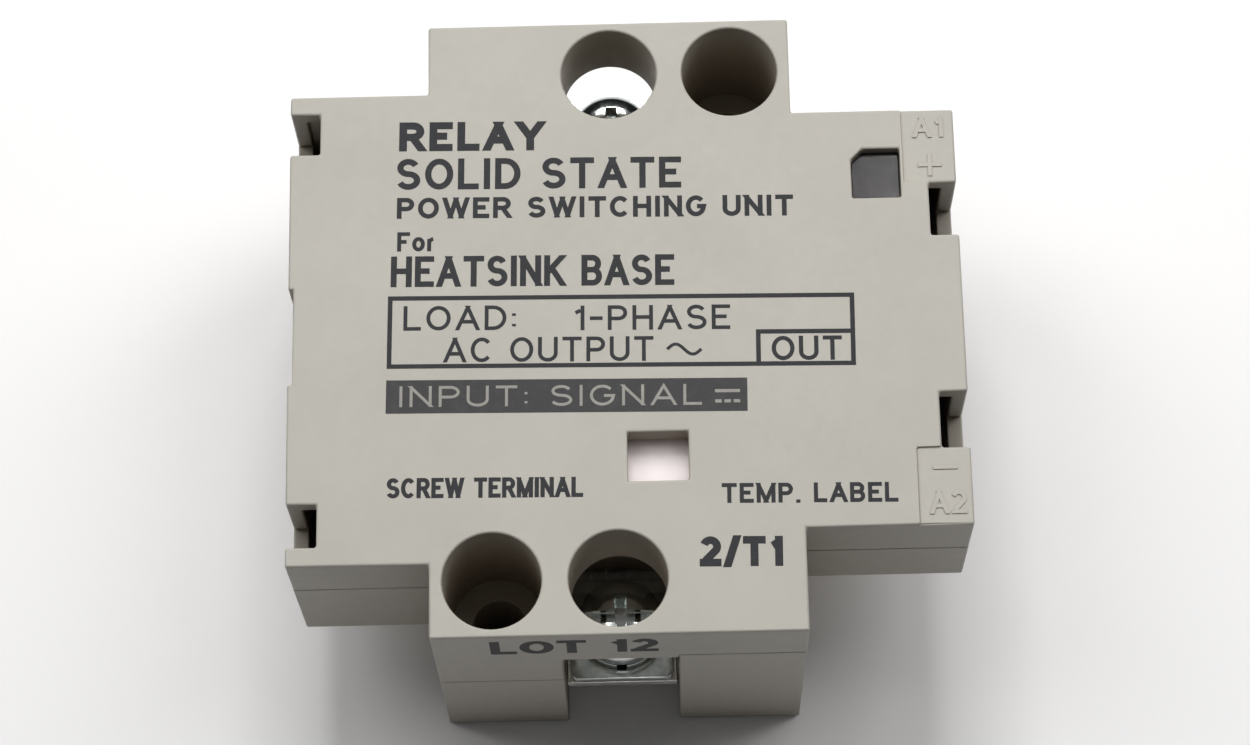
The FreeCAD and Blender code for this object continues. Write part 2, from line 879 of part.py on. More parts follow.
def build_screw(end):
    """Pan head with a cross recess and a slot across it, and a shank at the thread's outer size."""
    body = new_body(f"Screw_{end}")
    sketch = new_sketch(body, f"screw_profile_{end}", "XZ_Plane")
    tip = "head_underside - screw_length"
    draw_outline(sketch, [
        ("0", tip),
        ("shank_radius - tip_chamfer", tip),
        ("shank_radius", f"{tip} + tip_chamfer"),
        ("shank_radius", "head_underside"),
        ("head_radius", "head_underside"),
        ("head_radius", "head_underside + head_rim"),
        ("head_radius - shoulder_inset", "head_underside + head_rim + shoulder_rise"),
        ("head_radius - brow_inset", f"{SCREW_CROWN} - brow_drop"),
        ("crown_radius", SCREW_CROWN),
        ("0", SCREW_CROWN),
    ])
    spin(body, sketch, f"screw_turned_{end}")
    arm = "recess_arm / 2"
    for turn, (across, up) in enumerate((("recess_reach", arm), (arm, "recess_reach"))):
        recess = new_sketch(body, f"recess_{turn}_{end}", "XY_Plane", SCREW_CROWN)
        draw_rectangle(recess, (f"-({across})", across), (f"-({up})", up))
        pocket(body, recess, f"recess_cut_{turn}_{end}", "recess_depth")
    slot = new_sketch(body, f"slot_{end}", "XY_Plane", SCREW_CROWN)
    draw_rectangle(
        slot,
        ("-head_radius - cut_past", "head_radius + cut_past"),
        ("-slot_width / 2", "slot_width / 2"),
    )
    pocket(body, slot, f"slot_cut_{end}", "slot_depth")
    place_at_end(body, end)
    name_part(body, f"terminal_screw_{end}")


def build_spring_washer(end):
    body = new_body(f"SpringWasher_{end}")
    low = "head_underside - rest_gap - spring_washer_thickness"
    sketch = new_sketch(body, f"ring_{end}", "XY_Plane", low)
    draw_circle(sketch, "0", "0", "spring_washer_radius")
    draw_circle(sketch, "0", "0", "spring_washer_bore")
    pad(body, sketch, f"ring_pad_{end}", "spring_washer_thickness")
    split = new_sketch(body, f"split_{end}", "XY_Plane", "head_underside")
    half = "spring_washer_split / 2"
    draw_rectangle(split, (f"-{half}", half), ("-spring_washer_radius - cut_past", "0"))
    pocket(body, split, f"split_cut_{end}", "2 * spring_washer_thickness")
    place_at_end(body, end)
    name_part(body, f"spring_washer_{end}")


def build_clamp_washer(end):
    body = new_body(f"ClampWasher_{end}")
    low = "terminal_top + rest_gap"
    half = "clamp_washer_width / 2"
    sketch = new_sketch(body, f"clamp_outline_{end}", "XY_Plane", low)
    draw_rectangle(sketch, (f"-{half}", half), (f"-{half}", half))
    draw_circle(sketch, "0", "0", "spring_washer_bore")
    plate = pad(body, sketch, f"clamp_pad_{end}", "clamp_washer_thickness")
    round_uprights(body, plate, f"clamp_corners_{end}", "clamp_washer_corner")
    place_at_end(body, end)
    name_part(body, f"square_washer_{end}")


# ---------------------------------------------------------------- control side

def build_board():
    body = new_body("ControlBoard")
    sketch = new_sketch(body, "board_outline", "XY_Plane", "board_underside")
    reach, notch = "board_right", "board_notch_left"
    draw_outline(sketch, [
        ("-board_left", "-board_half_length"),
        (reach, "-board_half_length"),
        (reach, "-board_notch_far"),
        (notch, "-board_notch_far"),
        (notch, "-board_notch_near"),
        (reach, "-board_notch_near"),
        (reach, "board_notch_near"),
        (notch, "board_notch_near"),
        (notch, "board_notch_far"),
        (reach, "board_notch_far"),
        (reach, "board_half_length"),
        ("-board_left", "board_half_length"),
    ])
    pad(body, sketch, "board_pad", "board_thickness")
    holes = new_sketch(body, "pin_holes", "XY_Plane", BOARD_TOP)
    for sign in ("-", ""):
        for place in PIN_PLACES:
            draw_circle(
                holes, f"{sign}({place})", f"{sign}(track_outer - pin_inset)", "pin_radius + fit_gap",
            )
    pocket(body, holes, "pin_bores", "2 * board_thickness")
    name_part(body, "control_board")


def build_contact(label, sign):
    """A folded sheet contact that grips a blade pushed up through the ear's floor."""
    middle = f"{sign}contact_centre"
    near = (f"{middle} - contact_half_width", f"{middle} - contact_half_width + contact_sheet")
    far = (f"{middle} + contact_half_width - contact_sheet", f"{middle} + contact_half_width")
    rise = ("contact_bottom", "contact_top")
    length = ("contact_left", "contact_right")
    whole = (near[0], far[1])
    contact = fuse(f"contact_fuse_{label}", [
        box(f"leaf_near_{label}", length, near, rise),
        box(f"leaf_far_{label}", length, far, rise),
        box(f"web_{label}", ("contact_left", "contact_left + contact_sheet"), whole, rise),
        box(
            f"tail_{label}",
            ("contact_foot", "contact_left + contact_sheet"),
            (near[1], far[0]),
            (BOARD_TOP, f"{BOARD_TOP} + contact_sheet"),
        ),
    ])
    name_part(contact, f"input_contact_{label}")


def ball(name, x, y, z, radius):
    obj = doc.addObject("Part::Sphere", name)
    bind(obj, "Radius", radius)
    for axis, place in (("x", x), ("y", y), ("z", z)):
        bind(obj, f"Placement.Base.{axis}", place)
    return obj


def build_led():
    collar = ("led_base", "led_base + led_collar")
    legs = [
        rod(
            f"led_leg_{turn}", f"led_x + {sign} * lead_pitch / 4", "led_y",
            (BOARD_TOP, "led_base + led_collar / 2"), "leg_radius",
        )
        for turn, sign in enumerate((-1, 1))
    ]
    led = fuse("Led", legs + [
        rod("led_rim", "led_x", "led_y", collar, "led_radius + led_flange"),
        rod("led_body", "led_x", "led_y", ("led_base", "led_top - led_radius"), "led_radius"),
        ball("led_dome", "led_x", "led_y", "led_top - led_radius", "led_radius"),
    ])
    name_part(led, "status_led")


def axial_part(name, kind, y):
    """A body lying along X with a wire at each end bent down to the board."""
    x = f"{kind}_x"
    middle = f"{BOARD_TOP} + {kind}_lift"
    low, high = f"{x} - {kind}_span / 2", f"{x} + {kind}_span / 2"
    body = (f"{x} - {kind}_length / 2", f"{x} + {kind}_length / 2")
    wire = (f"{low} - wire_radius", f"{high} + wire_radius")
    return [
        lying_rod(f"{name}_body", body, y, middle, f"{kind}_radius"),
        lying_rod(f"{name}_wire", wire, y, middle, "wire_radius"),
        rod(f"{name}_leg_a", low, y, (BOARD_TOP, middle), "leg_radius"),
        rod(f"{name}_leg_b", high, y, (BOARD_TOP, middle), "leg_radius"),
    ]


def build_coupler():
    body = box(
        "coupler_body",
        ("-coupler_half_width", "coupler_half_width"),
        ("coupler_near", "coupler_far"),
        (f"{BOARD_TOP} + coupler_lift", f"{BOARD_TOP} + coupler_height"),
    )
    legs = []
    for sign in (-1, 1):
        for row in range(3):
            x = f"{sign} * coupler_leg_x"
            y = f"coupler_leg_y + {row} * lead_pitch"
            legs.append(box(
                f"coupler_leg_{sign}_{row}",
                (f"{x} - coupler_leg_width / 2", f"{x} + coupler_leg_width / 2"),
                (f"{y} - coupler_leg_thickness / 2", f"{y} + coupler_leg_thickness / 2"),
                (BOARD_TOP, f"{BOARD_TOP} + coupler_leg_height"),
            ))
    name_part(fuse("Coupler", [body] + legs), "phototriac_coupler")


def build_capacitor():
    body = box(
        "capacitor_body",
        ("-capacitor_left", "-capacitor_right"),
        ("capacitor_near", "capacitor_far"),
        (f"{BOARD_TOP} + capacitor_lift", f"{BOARD_TOP} + capacitor_height"),
    )
    middle = "(capacitor_near + capacitor_far) / 2"
    rise = (BOARD_TOP, f"{BOARD_TOP} + leg_depth")
    legs = [
        rod(f"capacitor_leg_{turn}", place, middle, rise, "capacitor_leg_radius")
        for turn, place in enumerate((
            "-capacitor_left + capacitor_leg_inset", "-capacitor_right - capacitor_leg_inset",
        ))
    ]
    name_part(fuse("Capacitor", [body] + legs), "snubber_capacitor")


def build_resistors():
    name_part(fuse("SnubberResistor", axial_part("snubber", "snubber", "snubber_y")), "snubber_resistor")
    name_part(fuse("InputResistors", [
        piece
        for turn in range(3)
        for piece in axial_part(f"input_{turn}", "input", f"input_first + {turn} * input_pitch")
    ]), "input_resistors")


def build_varistor():
    middle = "-(varistor_left + varistor_right) / 2"
    disc = lying_rod(
        "varistor_disc", ("-varistor_left", "-varistor_right"), "-varistor_y",
        f"{BOARD_TOP} + varistor_lift", "varistor_radius",
    )
    legs = [
        rod(
            f"varistor_leg_{turn}", middle, f"-varistor_y + {sign} * varistor_leg_offset",
            (BOARD_TOP, f"{BOARD_TOP} + varistor_leg_height"), "varistor_leg_radius",
        )
        for turn, sign in enumerate((-1, 1))
    ]
    name_part(fuse("Varistor", [disc] + legs), "varistor")


def build_transistor():
    """A round body with one flat side on three legs."""
    rise = (f"{BOARD_TOP} + transistor_lift", f"{BOARD_TOP} + transistor_height")
    round_body = rod("transistor_round", "transistor_x", "-transistor_y", rise, "transistor_radius")
    flat = box(
        "transistor_side",
        ("transistor_x - transistor_radius - cut_past", "transistor_x + transistor_radius + cut_past"),
        ("-transistor_y - transistor_radius - cut_past", "-transistor_y - transistor_flat"),
        (BOARD_TOP, f"{BOARD_TOP} + transistor_height + cut_past"),
    )
    legs = [
        rod(
            f"transistor_leg_{turn}", f"transistor_x + {turn} * lead_pitch / 2", "-transistor_y",
            (BOARD_TOP, f"{BOARD_TOP} + transistor_leg_height"), "leg_radius",
        )
        for turn in (-1, 0, 1)
    ]
    body = cut("transistor_body", round_body, [flat])
    name_part(fuse("Transistor", [body] + legs), "drive_transistor")


# ---------------------------------------------------------------- build, check and write

build_upper_case()
build_lower_case()
build_windows()
build_base_plate()
build_substrate()
for end in ENDS:
    build_power_chain(end)
    build_terminal_plate(end)
    build_nut(end)
    build_screw(end)
    build_spring_washer(end)
    build_clamp_washer(end)
build_gate_pins()
build_board()
build_contact("a1", "")
build_contact("a2", "-")
build_led()
build_coupler()
build_capacitor()
build_resistors()
build_varistor()
build_transistor()

doc.recompute()

failed = [obj.Name for obj in doc.Objects if {"Invalid", "Error"} & set(obj.State)]
if failed:
    raise ValueError(f"objects failed: {failed}")
for part in parts:
    if part.Shape.isNull() or not part.Shape.isValid():
        raise ValueError(f"{part.Label} has no valid shape")

os.makedirs("parts", exist_ok=True)
for part in parts:
    part.Shape.exportStep(f"parts/{part.Label}.step")
    bounds = part.Shape.BoundBox
    print(
        f"{part.Label}: {len(part.Shape.Solids)} solid(s), {part.Shape.Volume:.1f} mm3, "
        f"x {bounds.XMin:.2f} {bounds.XMax:.2f}, y {bounds.YMin:.2f} {bounds.YMax:.2f}, "
        f"z {bounds.ZMin:.2f} {bounds.ZMax:.2f}"
    )
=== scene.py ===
import json
import math

import bmesh
import bpy
import numpy as np
from mathutils import Matrix, Vector


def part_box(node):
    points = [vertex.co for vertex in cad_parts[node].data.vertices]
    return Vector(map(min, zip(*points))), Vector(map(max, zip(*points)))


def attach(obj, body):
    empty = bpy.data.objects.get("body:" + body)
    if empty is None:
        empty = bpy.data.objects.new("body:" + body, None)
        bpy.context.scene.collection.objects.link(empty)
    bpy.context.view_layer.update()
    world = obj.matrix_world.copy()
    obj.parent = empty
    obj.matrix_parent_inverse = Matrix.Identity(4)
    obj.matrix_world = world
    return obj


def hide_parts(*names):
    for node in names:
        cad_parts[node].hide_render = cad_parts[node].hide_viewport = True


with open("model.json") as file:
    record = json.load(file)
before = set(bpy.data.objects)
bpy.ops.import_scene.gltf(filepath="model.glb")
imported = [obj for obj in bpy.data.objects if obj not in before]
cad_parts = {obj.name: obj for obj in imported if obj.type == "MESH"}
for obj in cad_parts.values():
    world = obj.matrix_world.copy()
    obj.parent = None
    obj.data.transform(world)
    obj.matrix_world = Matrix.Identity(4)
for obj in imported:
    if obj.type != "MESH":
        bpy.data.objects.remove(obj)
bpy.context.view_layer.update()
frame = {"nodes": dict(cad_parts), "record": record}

# The looks of a plug-in solid state relay cartridge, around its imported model. Metres, +Z up.

MM = 0.001
ENDS = ("front", "rear")

CASE_LOW, CASE_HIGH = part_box("upper_case")
FACE = CASE_HIGH.z


# ---------------------------------------------------------------- camera, floor and light

def place_camera():
    """A long lens well above the relay's front, turned a little about its own line of sight."""
    azimuth, elevation, roll = math.radians(1.4), math.radians(70.42), math.radians(-2.64)
    aim = Vector((1.1, -5.8, 35.0)) * MM
    distance = 363.1 * MM
    flat = math.cos(elevation)
    back = Vector((math.sin(azimuth) * flat, -math.cos(azimuth) * flat, math.sin(elevation)))
    level = Vector((math.cos(azimuth), math.sin(azimuth), 0.0))
    upright = back.cross(level)
    right = level * math.cos(roll) + upright * math.sin(roll)
    up = back.cross(right)
    data = bpy.data.cameras.new("camera")
    data.sensor_width = 36.0
    data.lens = 102.3
    data.clip_start, data.clip_end = 0.01, 10.0
    camera = bpy.data.objects.new("camera", data)
    turn = Matrix((right, up, back)).transposed().to_4x4()
    camera.matrix_world = Matrix.Translation(aim + back * distance) @ turn
    bpy.context.scene.collection.objects.link(camera)
    bpy.context.scene.camera = camera


SKY_COLOUR, SKY_STRENGTH = (0.90, 0.95, 1.0, 1.0), 0.015
LAMP_TINT = (1.0, 0.99, 0.97)
RELAY_MIDDLE = (0, 0, 0.02)

# name, place, what it points at, size, watts
LAMPS = (
    ("key_light", (-0.01, 0.54, 0.74), RELAY_MIDDLE, (0.34, 0.36), 4.0),
    ("left_light", (-0.45, 0.27, 0.65), RELAY_MIDDLE, (0.38, 0.60), 2.3),
    ("right_light", (0.45, 0.27, 0.65), RELAY_MIDDLE, (0.38, 0.60), 2.7),
    ("ceiling", (0.0, 0.10, 1.00), (0.0, 0.10, 0.0), (1.40, 1.40), 0.9),
    ("front_lamp", (0.0, -0.52, 0.30), RELAY_MIDDLE, (0.04, 0.34), 0.10),
    *(
        ("overhead_lamp", (x, y, 0.52), RELAY_MIDDLE, (0.05, 0.05), 0.045)
        for x in (-0.08, 0.10) for y in (0.09, 0.22)
    ),
)


def place_light():
    """A soft box behind the relay, one at each side, and a dim ceiling. Straight above it is dark,
    so level metal shows dark. Small lamps overhead and an upright one in front put bright spots and
    lines on its slanted faces."""
    scene = bpy.context.scene
    scene.view_settings.view_transform = "Standard"
    world = bpy.data.worlds.new("surround")
    world.use_nodes = True
    sky = world.node_tree.nodes["Background"]
    sky.inputs["Color"].default_value = SKY_COLOUR
    sky.inputs["Strength"].default_value = SKY_STRENGTH
    scene.world = world
    for name, place, target, size, power in LAMPS:
        data = bpy.data.lights.new(name, "AREA")
        data.shape = "RECTANGLE"
        data.size, data.size_y = size
        data.energy = power
        data.color = LAMP_TINT
        lamp = bpy.data.objects.new(name, data)
        lamp.location = place
        lamp.rotation_euler = (Vector(place) - Vector(target)).to_track_quat("Z", "Y").to_euler()
        scene.collection.objects.link(lamp)


def build_floor(material):
    reach = 1.6
    floor = bpy.data.meshes.new("floor")
    corners = [(-reach, -reach, 0), (reach, -reach, 0), (reach, reach, 0), (-reach, reach, 0)]
    floor.from_pydata(corners, [], [(0, 1, 2, 3)])
    obj = bpy.data.objects.new("floor", floor)
    obj.data.materials.append(material)
    bpy.context.scene.collection.objects.link(obj)


# ---------------------------------------------------------------- materials

class Paint:
    """One procedural material. Its coordinates are each mesh's own, in millimetres."""

    def __init__(self, name, colour, roughness, metallic=0.0):
        self.material = bpy.data.materials.new(name)
        self.material.use_nodes = True
        self.tree = self.material.node_tree
        self.shader = self.tree.nodes["Principled BSDF"]
        self.shader.inputs["Base Color"].default_value = (*colour, 1.0)
        self.shader.inputs["Roughness"].default_value = roughness
        self.shader.inputs["Metallic"].default_value = metallic
        self.places = self.node("ShaderNodeVectorMath", operation="SCALE")
        self.places.inputs["Scale"].default_value = 1 / MM
        self.join(self.node("ShaderNodeTexCoord").outputs["Object"], self.places.inputs[0])
        self.colour = colour

    def node(self, kind, **settings):
        made = self.tree.nodes.new(kind)
        for key, value in settings.items():
            setattr(made, key, value)
        return made

    def join(self, source, target):
        self.tree.links.new(source, target)

    def stretched(self, stretch):
        """The coordinates stretched along the axes, for brushed or drawn metal."""
        made = self.node("ShaderNodeVectorMath", operation="MULTIPLY")
        made.inputs[1].default_value = stretch
        self.join(self.places.outputs[0], made.inputs[0])
        return made.outputs[0]

    def noise(self, per_mm, detail, stretch=None):
        made = self.node("ShaderNodeTexNoise")
        made.inputs["Scale"].default_value = per_mm
        made.inputs["Detail"].default_value = detail
        places = self.places.outputs[0] if stretch is None else self.stretched(stretch)
        self.join(places, made.inputs["Vector"])
        return made.outputs["Fac"]

    def remap(self, source, low, high, to_low, to_high):
        made = self.node("ShaderNodeMapRange")
        for key, value in (("From Min", low), ("From Max", high), ("To Min", to_low), ("To Max", to_high)):
            made.inputs[key].default_value = value
        self.join(source, made.inputs["Value"])
        return made.outputs["Result"]

    def blend_colour(self, share, other):
        """Mix another colour over what the surface has so far, by a share from 0 to 1."""
        mix = self.node("ShaderNodeMix", data_type="RGBA")
        target = self.shader.inputs["Base Color"]
        if target.is_linked:
            self.join(target.links[0].from_socket, mix.inputs["A"])
        else:
            mix.inputs["A"].default_value = (*self.colour, 1.0)
        mix.inputs["B"].default_value = (*other, 1.0)
        self.join(share, mix.inputs["Factor"])
        self.join(mix.outputs["Result"], target)

    def roughen(self, source, low, high, to_low, to_high):
        self.join(self.remap(source, low, high, to_low, to_high), self.shader.inputs["Roughness"])

    def bump(self, source, depth_mm, strength):
        made = self.node("ShaderNodeBump")
        made.inputs["Distance"].default_value = depth_mm * MM
        made.inputs["Strength"].default_value = strength
        self.join(source, made.inputs["Height"])
        target = self.shader.inputs["Normal"]
        if target.is_linked:
            self.join(target.links[0].from_socket, made.inputs["Normal"])
        self.join(made.outputs["Normal"], target)

    def hollows(self, reach_mm, low, high):
        """How deep a spot lies between other surfaces within reach, from 0 to 1, as the mask for painted
        shade.
        """
        made = self.node("ShaderNodeAmbientOcclusion")
        made.inputs["Distance"].default_value = reach_mm * MM
        return self.remap(made.outputs["AO"], low, high, 1.0, 0.0)


def shade(colour, factor):
    return tuple(part * factor for part in colour)


# Painted shade: spots hemmed in by other surfaces within this reach, the floor too, are painted darker and
# more brown by this tint.
HOLLOW_REACH_MM = 60
HOLLOW_SHADE_TINT = (0.60, 0.53, 0.46)


def moulded_plastic(name, colour, roughness=0.55):
    """Matt moulding: a fine sparked grain, faint colour clouds, and painted shade that makes its hollows
    darker and more brown.
    """
    paint = Paint(name, colour, roughness)
    darker = shade(colour, 0.90)
    paint.blend_colour(paint.remap(paint.noise(0.09, 3.0), 0.35, 0.70, 0.0, 0.55), darker)
    paint.blend_colour(paint.remap(paint.noise(2.2, 4.0), 0.62, 0.80, 0.0, 0.35), darker)
    painted_shade_colour = tuple(part * tint for part, tint in zip(colour, HOLLOW_SHADE_TINT))
    # Painted shade in hollows and on walls near other surfaces.
    paint.blend_colour(paint.hollows(HOLLOW_REACH_MM, 0.02, 0.95), painted_shade_colour)
    paint.roughen(paint.noise(1.3, 3.0), 0.3, 0.7, roughness - 0.07, roughness + 0.08)
    paint.bump(paint.noise(7.0, 3.0), 0.035, 0.35)
    paint.shader.inputs["Specular IOR Level"].default_value = 0.4
    return paint.material


def plated_metal(name, colour, roughness, stretch=(1, 1, 1), grain=0.25):
    """Plated steel or brass: bright, with fine drawn scratches and dull clouds in the plating."""
    paint = Paint(name, colour, roughness, metallic=1.0)
    paint.blend_colour(paint.remap(paint.noise(0.8, 4.0), 0.45, 0.75, 0.0, 0.5), shade(colour, 0.72))
    paint.roughen(paint.noise(1.6, 4.0, stretch), 0.3, 0.7, roughness * 0.7, roughness * 1.5)
    paint.bump(paint.noise(9.0, 3.0, stretch), 0.01, grain)
    return paint.material


def glossy_body(name, colour, roughness, mottle=0.85):
    """Dipped or cast resin, lacquer or ceramic: smooth, with a soft uneven surface."""
    paint = Paint(name, colour, roughness)
    paint.blend_colour(paint.remap(paint.noise(0.9, 3.0), 0.4, 0.7, 0.0, 0.6), shade(colour, mottle))
    paint.roughen(paint.noise(2.0, 2.0), 0.3, 0.7, roughness * 0.8, roughness * 1.25)
    paint.bump(paint.noise(1.5, 2.0), 0.03, 0.3)
    return paint.material


def solder_mask(name, colour):
    """Board lacquer over copper: tracks show as slightly raised, paler bands."""
    paint = Paint(name, colour, 0.32)
    bands = paint.node("ShaderNodeTexBrick", offset=0.37, squash=1.6, squash_frequency=3)
    bands.inputs["Scale"].default_value = 0.28
    bands.inputs["Mortar Size"].default_value = 0.045
    bands.inputs["Mortar Smooth"].default_value = 0.2
    paint.join(paint.places.outputs[0], bands.inputs["Vector"])
    paint.blend_colour(paint.remap(bands.outputs["Fac"], 0.0, 1.0, 0.0, 0.7), shade(colour, 1.9))
    paint.roughen(paint.noise(3.0, 2.0), 0.3, 0.7, 0.26, 0.42)
    paint.bump(bands.outputs["Fac"], 0.035, 0.6)
    return paint.material


def print_ink(name, colour):
    """Pad printing: nearly even, a little thinner here and there."""
    paint = Paint(name, colour, 0.6)
    paint.shader.inputs["Specular IOR Level"].default_value = 0.15
    thinner = tuple(part * 1.6 + 0.006 for part in colour)
    paint.blend_colour(paint.remap(paint.noise(1.1, 4.0), 0.5, 0.8, 0.0, 0.35), thinner)
    paint.bump(paint.noise(6.0, 3.0), 0.02, 0.3)
    return paint.material


# Painted shade on the lens: darkest from the second place back, greyest from the first place forward.
LENS_LIT_Y_MM, LENS_SHADED_Y_MM = 13.0, 17.5


def smoky_lens(name):
    """Dark clear plastic, with painted light and shade along it: greyer towards its front edge, darker
    towards its back edge.
    """
    paint = Paint(name, (0.020, 0.018, 0.020), 0.14)
    paint.shader.inputs["Transmission Weight"].default_value = 0.35
    paint.shader.inputs["IOR"].default_value = 1.5
    paint.bump(paint.noise(0.8, 1.0), 0.05, 0.2)
    along = paint.node("ShaderNodeSeparateXYZ")
    paint.join(paint.places.outputs[0], along.inputs[0])
    # Painted light: the lens is painted greyer towards its front edge.
    painted_light_share = paint.remap(along.outputs["Y"], LENS_SHADED_Y_MM, LENS_LIT_Y_MM, 0.0, 1.0)
    paint.blend_colour(painted_light_share, (0.070, 0.065, 0.069))
    return paint.material


def paper(name, colour):
    """Printed paper: matt, with a faint uneven tint."""
    paint = Paint(name, colour, 0.7)
    paint.blend_colour(paint.remap(paint.noise(0.6, 3.0), 0.35, 0.7, 0.0, 0.6), shade(colour, 0.95))
    paint.bump(paint.noise(4.0, 3.0), 0.02, 0.2)
    return paint.material


# Painted pool of light on the floor: white within the first reach, fading to painted grey shade by the
# second.
LIT_POOL_TO_MM, SHADE_FROM_MM = 104, 230


def floor_paper(name):
    """White paper with a painted pool of light round the relay; away from it, painted shade turns it grey.
    """
    paint = Paint(name, (0.95, 0.95, 0.965), 0.75)
    away = paint.node("ShaderNodeVectorMath", operation="LENGTH")
    paint.join(paint.places.outputs[0], away.inputs[0])
    # Painted light falloff: the floor turns grey away from the relay.
    light_falloff = paint.remap(away.outputs["Value"], LIT_POOL_TO_MM, SHADE_FROM_MM, 0.0, 1.0)
    paint.blend_colour(light_falloff, (0.28, 0.28, 0.29))
    paint.blend_colour(paint.remap(paint.noise(0.02, 2.0), 0.3, 0.7, 0.0, 0.03), (0.70, 0.71, 0.74))
    paint.bump(paint.noise(1.5, 3.0), 0.05, 0.2)
    return paint.material


MATERIALS = {
    "case_plastic": moulded_plastic("case_plastic", (0.465, 0.449, 0.407)),
    "terminal_steel": plated_metal("terminal_steel", (0.60, 0.63, 0.61), 0.13, grain=0.12),
    "terminal_brass": plated_metal("terminal_brass", (0.80, 0.79, 0.75), 0.20, (1, 0.15, 1), 0.12),
    "base_metal": plated_metal("base_metal", (0.66, 0.66, 0.66), 0.36, (0.06, 1, 1), 0.5),
    "ceramic": glossy_body("ceramic", (0.80, 0.80, 0.77), 0.35, 0.94),
    "copper": plated_metal("copper", (0.78, 0.42, 0.27), 0.30, (1, 0.2, 1)),
    "silicon": glossy_body("silicon", (0.06, 0.065, 0.075), 0.12, 0.7),
    "board_green": solder_mask("board_green", (0.022, 0.105, 0.045)),
    "contact_metal": plated_metal("contact_metal", (0.75, 0.74, 0.70), 0.25, (1, 1, 0.2)),
    "lens_smoke": smoky_lens("lens_smoke"),
    "led_red": glossy_body("led_red", (0.36, 0.03, 0.025), 0.12, 0.8),
    "label_pink": paper("label_pink", (0.93, 0.86, 0.89)),
    "stand_plastic": moulded_plastic("stand_plastic", (0.035, 0.034, 0.034), 0.5),
    "component_black": moulded_plastic("component_black", (0.022, 0.022, 0.023), 0.45),
    "capacitor_film": glossy_body("capacitor_film", (0.46, 0.31, 0.06), 0.3),
    "resistor_body": glossy_body("resistor_body", (0.33, 0.22, 0.13), 0.4),
    "varistor_blue": glossy_body("varistor_blue", (0.03, 0.09, 0.26), 0.25),
}
INK = print_ink("print_ink", (0.034, 0.035, 0.039))
PANEL_INK = print_ink("panel_ink", (0.058, 0.058, 0.060))
FADED_INK = print_ink("faded_ink", (0.060, 0.058, 0.058))
PALE_INK = print_ink("pale_ink", (0.31, 0.30, 0.28))


def dress_cad_nodes():
    """Give every CAD node the material of its own slot."""
    slot_of = {part["node"]: part["material_slot"] for part in frame["record"]["subparts"]}
    for name, obj in frame["nodes"].items():
        obj.data.materials.clear()
        obj.data.materials.append(MATERIALS[slot_of[name]])


# ---------------------------------------------------------------- mesh helpers

def mesh_from(work, name):
    """Turn finished mesh work into a mesh with its normals facing out."""
    bmesh.ops.recalc_face_normals(work, faces=work.faces)
    mesh = bpy.data.meshes.new(name)
    work.to_mesh(mesh)
    work.free()
    return mesh


def add_piece(name, mesh, body, slot, material=None, stands_for=()):
    """Put a finished mesh in the scene as a piece that rides on a body."""
    obj = bpy.data.objects.new(name, mesh)
    bpy.context.scene.collection.objects.link(obj)
    mesh.materials.clear()
    mesh.materials.append(material or MATERIALS[slot])
    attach(obj, body)
    if stands_for:
        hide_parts(*stands_for)
    return obj


def soften(mesh, angle):
    """Smooth shading that breaks at edges sharper than the angle."""
    mesh.shade_smooth()
    mesh.set_sharp_from_angle(angle=math.radians(angle))
    return mesh


JOIN_WITHIN = 0.002 * MM
FLAT_WITHIN = math.radians(0.4)


def clean_copy(node):
    """A node's mesh with shared corners joined and flat faces made whole."""
    work = bmesh.new()
    work.from_mesh(frame["nodes"][node].data)
    bmesh.ops.remove_doubles(work, verts=work.verts, dist=JOIN_WITHIN)
    bmesh.ops.dissolve_limit(
        work, angle_limit=FLAT_WITHIN, use_dissolve_boundaries=False,
        verts=work.verts, edges=work.edges,
    )
    bmesh.ops.recalc_face_normals(work, faces=work.faces)
    return work


SLIGHT, SHARP = math.radians(0.5), math.radians(28)
ALONGSIDE = 0.9
SHARED_LENGTH = 0.02 * MM
SAME_PLACE = 0.001 * MM
OPEN_SPACE = 1.0
ROUNDING_SHARE = 0.42
ROUNDING_STEPS = 3


def room_beside(edges):
    """How far each edge lies from the nearest one that runs beside it. Two edges run beside each
    other when they point much the same way and share some of their length."""
    starts = np.array([edge.verts[0].co for edge in edges])
    spans = np.array([edge.verts[1].co for edge in edges]) - starts
    lengths = np.linalg.norm(spans, axis=1)
    slopes = spans / lengths[:, None]
    rooms = []
    for start, length, slope in zip(starts, lengths, slopes):
        first = (starts - start) @ slope
        last = first + spans @ slope
        low = np.maximum(np.minimum(first, last), 0)
        high = np.minimum(np.maximum(first, last), length)
        beside = (abs(slopes @ slope) > ALONGSIDE) & (high - low > SHARED_LENGTH)
        middle = ((low + high) / 2)[beside]
        share = (middle - first[beside]) / (last - first)[beside]
        there = starts[beside] + share[:, None] * spans[beside]
        here = start + middle[:, None] * slope
        gaps = np.linalg.norm(there - here, axis=1)
        rooms.append(min(gaps[gaps > SAME_PLACE], default=OPEN_SPACE))
    return rooms


